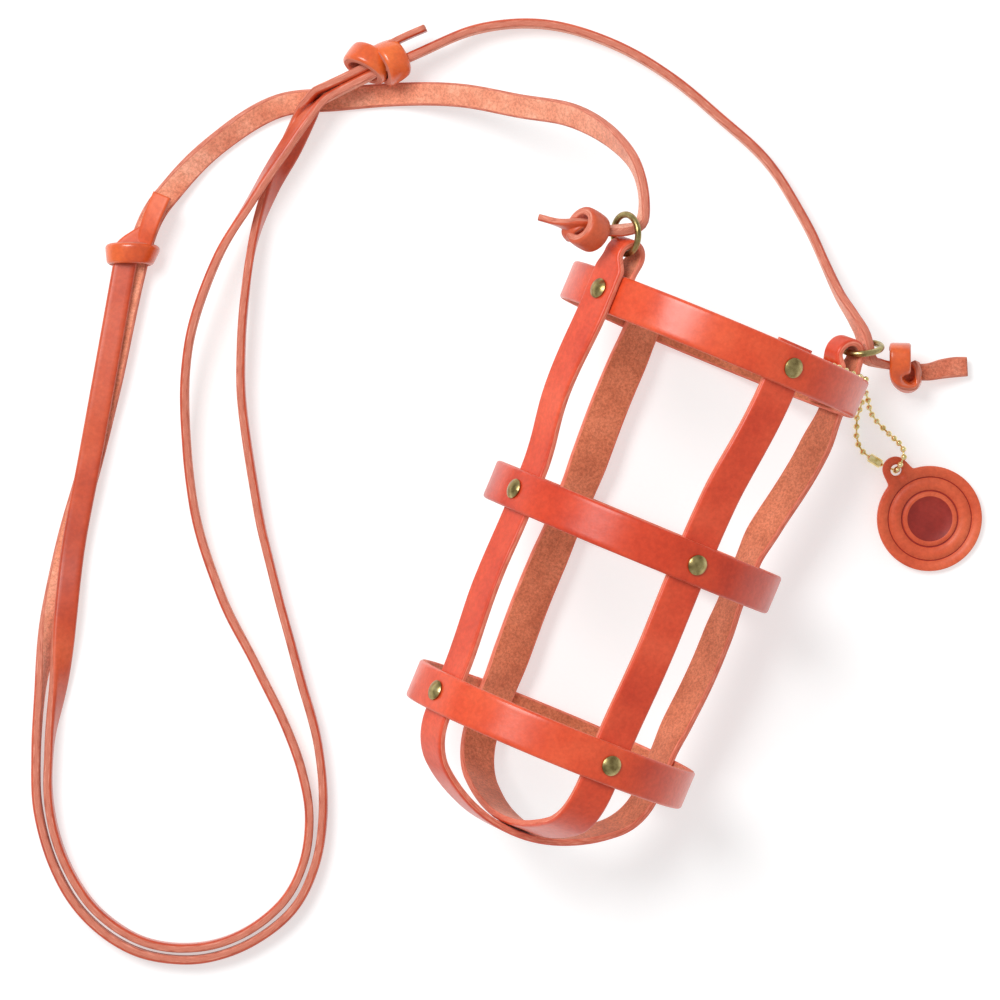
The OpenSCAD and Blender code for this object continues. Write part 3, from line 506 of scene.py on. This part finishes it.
# Laces, made first; a stopper knot draws in a lace's start over this length
KNOT_DRAW = 6
left_lace, left_path = lace("left_lace_strip", LEFT_ROUTE, drawn=KNOT_DRAW)
right_lace, right_path = lace("right_lace_strip", RIGHT_ROUTE, drawn=KNOT_DRAW)
dress([left_lace], "cage", "left_lace")
dress([right_lace], "cage", "right_lace")

# Bands
TOP = 1
LEVELS = {"top_band": TOP, "middle_band": 0, "bottom_band": -1}
# Depth of the dents that the rivets press, and of those in the laps
DENT, LAP_DENT = 0.22, 0.1
# Degrees from one section of a band to the next
BAND_STEP = 1.25


def rivet_places(level):
    """Where a band's rivets press: left and right on the looped strap, right and left on the plain one."""
    r = MID_R + level * GROWTH
    if level == TOP:
        on_loop = outside_r(r) + STRAP_T / 2
        reaches = (on_loop, on_loop, r, r + BAND_T / 2)
        dirs = (LEFT_LOOP_DIR, RIGHT_LOOP_DIR, PLAIN_TOP_DIR, PLAIN_FAR_DIR)
    else:
        reaches = (r, r, r, r + BAND_T / 2)
        dirs = (LOOPED_DIR, LOOPED_RIGHT_DIR, PLAIN_DIR, PLAIN_FAR_DIR)
    along = [0, level * PITCH, 0]
    return [placed(reach * spoke(math.radians(d)) + along) for reach, d in zip(reaches, dirs)]


def band_strip(name, level, a, r, t, mats, **form):
    """A strip of band over the angles a, with its middle at the radius r."""
    P = placed(spoke(a) * r + [0, level * PITCH, 0])
    W = np.broadcast_to(tilted([0, -1, 0]), P.shape)
    return ribbon(name, P, W, tilted(spoke(a)), BAND_W, t, mats, **form)


def ring_band(name, level):
    """A closed band; on the top band, two of the rivets press on the loops only."""
    pressed = rivet_places(level)[2:] if level == TOP else rivet_places(level)
    mats = BAND_MATS if level else MIDDLE_MATS
    angles = np.radians(np.arange(0, 360, BAND_STEP))
    return band_strip(name, level, angles, MID_R + level * GROWTH - BAND_T / 2, BAND_T, mats, closed=True,
                      across=12, dents=[(p, DENT) for p in pressed], wobble=0.15)


def lap_tongue(name, level, count=24):
    """The band's outer end, which lies on its other end at the floor side and thins out at its start."""
    r = MID_R + level * GROWTH
    half = math.degrees(HALF_BAND / r)
    share = np.linspace(0, 1, count)
    rise = np.interp(share, [0, 0.12, 0.8, 1], [0.3, 0.5, 0.5, 0.15])
    thickness = np.interp(share, [0, 0.12, 1], [0.6, 1, 1])
    angles = np.radians(np.linspace(PLAIN_FAR_DIR - half, PLAIN_FAR_DIR + half, count))
    return band_strip(name, level, angles, r + rise[:, None], thickness, BAND_MATS, across=8,
                      dents=[(p, LAP_DENT) for p in rivet_places(level)[3:]])


for band, level in LEVELS.items():
    pieces = [ring_band(band + "_leather", level), lap_tongue(band + "_lap", level)]
    dress(pieces, "cage", band)

# Straps; each row of a half is the distance from the axis, the place along the cage and the width
BEND_STEPS, UPRIGHT_STEPS, LOOP_STEPS, FOLD_STEPS = 14, 28, 14, 22


def ease(s):
    """From 0 to 1 with a soft start and end."""
    return (1 - math.cos(math.pi * max(0, min(1, s)))) / 2


def mix(a, b, s):
    return a + (b - a) * s


def straight(x, y0, y1, steps=8):
    """Rows along the cage, without the first one."""
    return [(x, y, STRAP_W) for y in np.linspace(y0, y1, steps + 1)[1:]]


def eased(x0, x1, y0, y1):
    """Rows of an upright's free stretch, which bows out."""
    shares = [i / UPRIGHT_STEPS for i in range(UPRIGHT_STEPS + 1)]
    return [(mix(x0, x1, ease(s)) + BOW * math.sin(math.pi * s) ** 2, mix(y0, y1, s), STRAP_W)
            for s in shares]


def bend(low):
    """Rows from the bottom's middle at low, over a wide arc and a corner, to the lowest band."""
    deep = -PITCH - HALF_BAND - low
    up = inside_r(BOTTOM_R)
    crown_r = ((up - CORNER_R) ** 2 + deep ** 2 - CORNER_R ** 2) / (2 * (deep - CORNER_R))
    joint = math.asin((up - CORNER_R) / (crown_r - CORNER_R))
    crown = [joint * i / BEND_STEPS for i in range(BEND_STEPS + 1)]
    corner = [mix(joint, math.pi / 2, i / BEND_STEPS) for i in range(1, BEND_STEPS + 1)]
    return ([(crown_r * math.sin(g), low + crown_r * (1 - math.cos(g)), STRAP_W) for g in crown]
            + [(up - CORNER_R * (1 - math.sin(g)), -PITCH - HALF_BAND - CORNER_R * math.cos(g), STRAP_W)
               for g in corner])


def upright(top_x):
    """Rows from the lowest band to the top band's lower edge."""
    low, mid = inside_r(BOTTOM_R), inside_r(MID_R)
    return (straight(low, -PITCH - HALF_BAND, HALF_BAND - PITCH)[:-1]
            + eased(low, mid, HALF_BAND - PITCH, -HALF_BAND)
            + straight(mid, -HALF_BAND, HALF_BAND)[:-1]
            + eased(mid, top_x, HALF_BAND, PITCH - HALF_BAND))


def folded_loop():
    """Rows over the outside of the top band, round the fold and back down inside it."""
    top, outer, inner = PITCH + HALF_BAND, outside_r(TOP_R), inside_r(TOP_R)

    def leg(x, fold_x, order):
        return [(mix(x, fold_x, ease(s)), mix(top, FOLD_Y, s), mix(STRAP_W, LOOP_W, ease(s)))
                for s in (i / LOOP_STEPS for i in order)]

    turn = [math.pi * i / FOLD_STEPS for i in range(1, FOLD_STEPS + 1)]
    return (straight(outer, PITCH - HALF_BAND, top)
            + leg(outer, FOLD_X + FOLD_MID, range(1, LOOP_STEPS + 1))
            + [(FOLD_X + FOLD_MID * math.cos(g), FOLD_Y + FOLD_MID * math.sin(g), LOOP_W) for g in turn]
            + leg(inner, FOLD_X - FOLD_MID, reversed(range(LOOP_STEPS)))
            + straight(inner, top, PITCH - RETURN_LEN))


def roll(direction, y):
    """Extra turn towards the floor, in degrees, of an upright's strip at a place along the cage."""
    g = math.radians(direction)
    y = min(y, FOLD_Y)
    free = y - PITCH - HALF_BAND if y > PITCH else min(abs(y) - HALF_BAND, PITCH - HALF_BAND - abs(y))
    side = -math.copysign(1, math.cos(g)) if math.sin(g) < 0 else 0
    return side * (UPPER_ROLL if 0 < y < PITCH else FLOOR_ROLL) * ease(free / BAND_W)


def heading(y, crown_y, crown_dir, dirs, span):
    """Direction of a strap's line in degrees: dirs has it at the lower bands and at the top band."""
    low = (y - crown_y) / (-PITCH - HALF_BAND - crown_y)
    top = ((y - HALF_BAND) / (PITCH - BAND_W) - span[0]) / (span[1] - span[0])
    return mix(mix(crown_dir, dirs[0], ease(low)), dirs[1], ease(top))


def strap_strip(name, half, crown_dir, far_dirs, near_dirs, dents=()):
    """A strap whose halves are alike; its far half lies on the floor side and has its rows mirrored."""
    line = np.array([(-x, y, w) for x, y, w in reversed(half) if x > 0] + half)
    x, y, w = line.T
    crown_y = half[0][1]
    far, near = (far_dirs, FAR_TURN), (near_dirs, NEAR_TURN)
    degrees = np.array([heading(v, crown_y, crown_dir, *(far if u < 0 else near)) for u, v in zip(x, y)])
    turns = [roll(d + (180 if u < 0 else 0), v) for d, u, v in zip(degrees, x, y)]
    a, rolled = np.radians(degrees), np.radians(degrees + turns)
    out, radial = spoke(a), spoke(rolled)
    tangent = np.stack([-np.sin(rolled), np.zeros_like(a), np.cos(rolled)], -1)
    pivot = np.where(y > PITCH, np.sign(x) * FOLD_X, x)[:, None]
    P = pivot * out + (x[:, None] - pivot) * radial + np.outer(y, [0, 1, 0])
    along = unit(np.gradient(line[:, :2], axis=0))
    N = along[:, 1:] * radial - np.outer(along[:, 0], [0, 1, 0])
    return ribbon(name, placed(P), tilted(tangent), tilted(N), w, STRAP_T, STRAP_MATS, across=10, dents=dents,
                  wobble=0.12)


looped_low = -PITCH - DEPTH + STRAP_T / 2
looped = strap_strip("looped_strap_leather", bend(looped_low) + upright(outside_r(TOP_R)) + folded_loop(),
                     (LOOPED_DIR + LOOPED_RIGHT_DIR - 180) / 2,
                     (LOOPED_RIGHT_DIR - 180, RIGHT_LOOP_DIR - 180), (LOOPED_DIR, LEFT_LOOP_DIR),
                     [(p, DENT) for p in rivet_places(TOP)[:2]])
dress([looped], "cage", "looped_strap")

plain_low = looped_low + STRAP_T + CROSS_GAP
plain_end = straight(inside_r(TOP_R), PITCH - HALF_BAND, PITCH + HALF_BAND + OVERRUN, steps=9)
plain = strap_strip("plain_strap_leather", bend(plain_low) + upright(inside_r(TOP_R)) + plain_end,
                    (PLAIN_DIR + PLAIN_FAR_DIR - 180) / 2, (PLAIN_FAR_DIR - 180, PLAIN_FAR_DIR - 180),
                    (PLAIN_DIR, PLAIN_TOP_DIR))
dress([plain], "cage", "plain_strap")

# Knots
# The picture's right and up on the floor: cosine and sine of the camera's turn
PICTURE_RIGHT, PICTURE_UP = (0.924, 0.383), (-0.383, 0.924)


def seen(right, up, towards):
    """A direction given as the camera sees it: to the right, up and towards the camera."""
    return [right * x + up * y for x, y in zip(PICTURE_RIGHT, PICTURE_UP)] + [towards]


# The left stopper knot's turn and fold take the darker knot leather as painted shade
left_stopper = [
    belt("left_stopper_turn", [-39.5, 64.7, 70.8], seen(-0.68, 0.37, 0.64), 3.7, 3.7, 6.6, PAINTED_SHADE_KNOT_MATS,
         crown=0.3),
    fold_strip("left_stopper_fold", 1.7, PAINTED_SHADE_KNOT_MATS,
               ([-40.2, 66.2, 69.4], seen(-0.3, 0.6, 0.6), 4.2),
               ([-42, 65.2, 71.2], seen(-0.6, 0.3, 0.7), 4.2),
               ([-43.4, 63.6, 71.2], seen(-0.8, -0.2, 0.5), 4.2),
               ([-43.4, 61.9, 69.9], seen(-0.6, -0.7, 0.3), 4.2),
               ([-42, 61.1, 68.4], seen(-0.3, -0.9, 0), 4.2)),
    fold_strip("left_stopper_tail", 1.7, LACE_MATS,
               ([-38.4, 64.8, 70.6], seen(0, -0.4, 0.9), 5.4),
               ([-42.1, 64.1, 71.6], seen(-0.1, -0.7, 0.7), 5.2),
               ([-45, 63.4, 71.2], seen(-0.1, -0.95, 0.35), 5.2),
               ([-47.6, 63.3, 69.8], seen(-0.1, -1, 0.1), 5.2),
               ([-50.9, 63.1, 68.3], seen(-0.1, -1, 0), 5)),
]
dress(left_stopper, "cage", "left_stopper_knot")

right_stopper = [
    fold_strip("right_stopper_front", 1.6, KNOT_MATS,
               ([45.4, 71.2, 7], seen(0, 0.95, -0.3), 5.4),
               ([45.2, 71.6, 10], seen(0, 1, 0), 5.4),
               ([45.1, 71.2, 13], seen(0, 0.8, 0.6), 5.4),
               ([45.5, 69.8, 15], seen(0, 0.2, 1), 5.4),
               ([46.4, 67.6, 15.2], seen(0, -0.05, 1), 5.4),
               ([47.4, 65.3, 14], seen(0.12, 0, 1), 5.4),
               ([48.2, 63.7, 12], seen(0.5, 0.4, 0.7), 5),
               ([49.9, 63.2, 10], seen(0.3, 0.8, 0.5), 5),
               ([51.5, 63.5, 8.6], seen(-0.2, 0.9, 0.35), 5),
               ([52.4, 65.3, 7.8], seen(-0.9, 0.4, -0.1), 5),
               ([52, 67.6, 7.2], seen(-1, -0.1, -0.2), 5),
               ([50.4, 69.3, 6.6], seen(-0.5, -0.8, -0.1), 4.6)),
    fold_strip("right_stopper_under", 1.6, KNOT_MATS,
               ([45.6, 67.6, 6.2], seen(-1, 0.1, 0.1), 4.6),
               ([46.5, 65, 6.2], seen(-0.9, -0.3, 0.15), 4.6),
               ([48.1, 63.1, 6], seen(-0.6, -0.8, 0.2), 4.6),
               ([50.3, 62.5, 5.8], seen(0, -1, 0.25), 4.6),
               ([52.1, 63, 5.6], seen(0.6, -0.8, 0.2), 4.6),
               ([53.1, 64.6, 5.4], seen(0.9, -0.4, 0.15), 4.6),
               ([53, 66.6, 5.2], seen(1, 0.1, 0.1), 4.4)),
    fold_strip("right_stopper_tail", 1.8, KNOT_MATS,
               ([47.2, 65.4, 4.6], seen(0, 0.2, -1), 5),
               ([49.8, 66.6, 5], seen(0, 0.2, -1), 5),
               ([52.7, 67.7, 5.2], seen(0.1, 0.2, -1), 4.3),
               ([55, 68.8, 5.2], seen(0.2, 0.15, -1), 4.5),
               ([57.6, 70.6, 4.2], seen(0.2, -0.1, -1), 5),
               ([60.6, 72.4, 3.2], seen(0.1, -0.05, -1), 5.2),
               ([63.3, 73.7, 2.6], seen(0.05, 0, -1), 5)),
]
dress(right_stopper, "cage", "right_stopper_knot")

upper_slider = [
    belt("upper_slider_turn_a", [-107.9, 86.6, 8.5], seen(0.45, 0.83, -0.3), 4.6, 4.4, 6, KNOT_MATS,
         crown=0.25, flare=(-0.12, -0.12)),
    belt("upper_slider_turn_b", [-102.6, 89, 8.6], seen(0.85, 0.45, -0.3), 4.2, 4.4, 6.4, KNOT_MATS,
         crown=0.3, flare=(-0.1, -0.1)),
    lace("upper_slider_tail", [[-106.6, 90.5, 8.5, 90], [-102.5, 95.2, 8.8, 90], [-97.7, 100.2, 9.4, 90]],
         w=5.6, t=1.8)[0],
]
dress(upper_slider, "upper_knot_body", "upper_sliding_knot")

lower_slider = [
    belt("lower_slider_turn", [-145.1, 18.2, 6], seen(0.02, 1, -0.08), 5.4, 4.3, 5.3, KNOT_MATS,
         crown=0.1, flare=(0.45, 0.12)),
    fold_strip("lower_slider_hump", 1.5, FLAT_MATS,
               ([-147.8, 17.2, 8.8], seen(-0.04, 0.08, 1), 4.8),
               ([-146.9, 19.8, 8.9], seen(-0.04, 0.08, 1), 4.8),
               ([-145.2, 22.4, 8.9], seen(0, 0.1, 1), 4.8),
               ([-143.8, 24.3, 8.8], seen(0, 0.1, 1), 4.8)),
    fold_strip("lower_slider_tail", 1.6, FLAT_MATS,
               ([-142.9, 19.6, 8.7], seen(-0.05, 0, 1), 3.6),
               ([-143, 22.6, 9.2], seen(-0.2, 0, 1), 4.2),
               ([-143.3, 25.6, 9.7], seen(-0.3, 0, 1), 4.7),
               ([-143.5, 29.3, 9.9], seen(-0.33, 0, 1), 5),
               ([-143.4, 35.2, 9.8], seen(-0.3, 0, 1), 5)),
]
dress(lower_slider, "lower_knot_body", "lower_sliding_knot")

# Tag: how many sides its round forms have, and how often the inner corners at the ear are smoothed
TAG_SIDES, EAR_SMOOTHING = 256, 3
# Heights on its face: the pressed centre, and the floors of the two pressed circles
CENTRE_Z, INNER_CIRCLE_Z, OUTER_CIRCLE_Z = TAG_T - 0.3, TAG_T - 0.34, TAG_T - 0.3
# Rings of its face: radius, height, and zone from there to the next ring; the floors of the two pressed
# circles take the dark centre's zone as painted shade
FACE_RINGS = [
    (3.0, CENTRE_Z, ZONE_DARK_CENTRE_AND_GROOVE_SHADE), (5.5, CENTRE_Z, ZONE_DARK_CENTRE_AND_GROOVE_SHADE), (5.8, TAG_T - 0.06, ZONE_GRAIN),
    (6.9, TAG_T, ZONE_GRAIN), (7.02, INNER_CIRCLE_Z, ZONE_DARK_CENTRE_AND_GROOVE_SHADE), (7.42, INNER_CIRCLE_Z, ZONE_GRAIN),
    (7.55, TAG_T, ZONE_GRAIN), (9.0, TAG_T + 0.02, ZONE_GRAIN), (10.5, TAG_T, ZONE_GRAIN),
    (10.6, OUTER_CIRCLE_Z, ZONE_DARK_CENTRE_AND_GROOVE_SHADE), (10.86, OUTER_CIRCLE_Z, ZONE_GRAIN), (10.95, TAG_T, ZONE_GRAIN)
]
# Rings of its rim: distance inside the outline, height, and zone from there to the next ring
RIM_RINGS = [
    (0.7, TAG_T + 0.02, ZONE_GRAIN), (0.45, TAG_T, ZONE_GRAIN), (0.18, TAG_T - 0.08, ZONE_GRAIN),
    (0.04, TAG_T - 0.25, ZONE_EDGE), (0.0, TAG_T - 0.5, ZONE_EDGE), (0.0, 0.4, ZONE_EDGE),
    (0.06, 0.15, ZONE_EDGE), (0.25, 0.0, ZONE_SUEDE)
]


def tag_frame(p):
    """From the tag's own axes, with the ear's hole at the origin and the disc towards +x, to its place."""
    p = np.asarray(p, float)
    c, s = math.cos(TAG_SLOPE), math.sin(TAG_SLOPE)
    x, y, z = p[..., 0], p[..., 1], p[..., 2] - TAG_T
    x, z = x * c + z * s, -x * s + z * c
    c, s = math.cos(TAG_DIR), math.sin(TAG_DIR)
    return np.stack([x * c - y * s, x * s + y * c, z], -1) + EAR_AT


def tag_outline(angles):
    """Distance from the disc's middle to the outline of disc and ear, at the angles."""
    out = []
    for g in angles:
        c, s = math.cos(g), math.sin(g)
        reach = TAG_D / 2
        # The ear's round end, round its hole
        beside = -EAR_REACH * c
        chord = beside ** 2 - (EAR_REACH ** 2 - (EAR_W / 2) ** 2)
        if chord > 0:
            reach = max(reach, beside + math.sqrt(chord))
        # The ear's straight sides, as far as its hole
        if c < 0 and abs(s) > 1e-6:
            to_side = EAR_W / 2 / abs(s)
            if to_side * -c <= EAR_REACH:
                reach = max(reach, to_side)
        out.append(reach)
    out = np.array(out)
    for _ in range(EAR_SMOOTHING):
        out = 0.5 * out + 0.25 * (np.roll(out, 1) + np.roll(out, -1))
    return out


def punch_ear(ob):
    """Cuts the ear's hole."""
    bm = bmesh.new()
    radius = EAR_HOLE_D / 2 * MM
    bmesh.ops.create_cone(bm, cap_ends=True, segments=48, radius1=radius, radius2=radius,
                          depth=3 * TAG_T * MM)
    hole = bpy.data.meshes.new("hole")
    bm.to_mesh(hole)
    bm.free()
    cutter = bpy.data.objects.new("hole", hole)
    bpy.context.collection.objects.link(cutter)
    cutter.rotation_euler = (0, TAG_SLOPE, TAG_DIR)
    cutter.location = tuple(EAR_AT * MM)
    cut = ob.modifiers.new("hole", "BOOLEAN")
    cut.object = cutter
    cut.operation = "DIFFERENCE"
    cut.solver = "EXACT"
    bpy.context.view_layer.objects.active = ob
    bpy.context.view_layer.update()
    bpy.ops.object.modifier_apply(modifier="hole")
    bpy.data.objects.remove(cutter)


def make_tag():
    angles = math.tau * np.arange(TAG_SIDES) / TAG_SIDES
    outline = tag_outline(angles)
    rings = ([(np.full(TAG_SIDES, r), z, zone) for r, z, zone in FACE_RINGS]
             + [(outline - inset, z, zone) for inset, z, zone in RIM_RINGS])
    verts = [(EAR_REACH, 0, CENTRE_Z)]
    for radii, z, _ in rings:
        verts += [(EAR_REACH + r * math.cos(g), r * math.sin(g), z) for r, g in zip(radii, angles)]
    following = [(k + 1) % TAG_SIDES for k in range(TAG_SIDES)]
    faces = [(0, 1 + k, 1 + q) for k, q in enumerate(following)]
    zones = [ZONE_DARK_CENTRE_AND_GROOVE_SHADE] * TAG_SIDES
    for row, (_, _, zone) in enumerate(rings[:-1]):
        this = 1 + row * TAG_SIDES
        outer = this + TAG_SIDES
        faces += [(this + k, outer + k, outer + q, this + q) for k, q in enumerate(following)]
        zones += [zone] * TAG_SIDES
    last = 1 + (len(rings) - 1) * TAG_SIDES
    faces.append(tuple(last + k for k in reversed(range(TAG_SIDES))))
    zones.append(rings[-1][2])
    ob = make_mesh("tag_leather", tag_frame(np.array(verts)), faces, TAG_MATS, zones)
    punch_ear(ob)
    return ob


dress([make_tag()], "tag_body", "tag")

# Metal pieces keep their CAD shape
CHAIN_NODES = ("chain_wrap", "ball_chain", "chain_connector")
for name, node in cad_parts.items():
    if name in CHAIN_NODES or "rivet" in name or "ring" in name:
        node.data.materials.clear()
        node.data.materials.append(GOLD if name in CHAIN_NODES else ANTIQUE)

# Floor, of plain paper, and how far it reaches each way in metres
FLOOR_REACH = 4
bm = bmesh.new()
bmesh.ops.create_grid(bm, x_segments=4, y_segments=4, size=FLOOR_REACH)
floor_mesh = bpy.data.meshes.new("floor")
bm.to_mesh(floor_mesh)
bm.free()
floor = bpy.data.objects.new("floor", floor_mesh)
bpy.context.collection.objects.link(floor)
paper = Shader("paper")
fill(paper.bsdf, Base_Color=(0.6, 0.61, 0.61, 1), Roughness=0.9, Specular_IOR_Level=0.1,
     Emission_Color=(1, 1, 1, 1), Emission_Strength=0.5)
floor_mesh.materials.append(paper.mat)

# Light: a pale surround, and one soft lamp at the upper left
world = bpy.data.worlds.new("world")
bpy.context.scene.world = world
world.use_nodes = True
fill(world.node_tree.nodes["Background"], Color=(1, 1, 1, 1), Strength=0.55)

LAMP_AT, LAMP_TARGET = Vector((-0.72, 0.28, 1.25)), Vector((-0.03, -0.02, 0))
lamp_data = bpy.data.lights.new("key", "AREA")
lamp_data.shape = "DISK"
lamp_data.size = 0.7
lamp_data.energy = 15
lamp = bpy.data.objects.new("key", lamp_data)
lamp.location = LAMP_AT
lamp.rotation_euler = (LAMP_TARGET - LAMP_AT).to_track_quat("-Z", "Y").to_euler()
bpy.context.collection.objects.link(lamp)

picture = bpy.context.scene.view_settings
picture.view_transform = "Standard"
picture.look = "None"
picture.exposure = 0
picture.gamma = 1
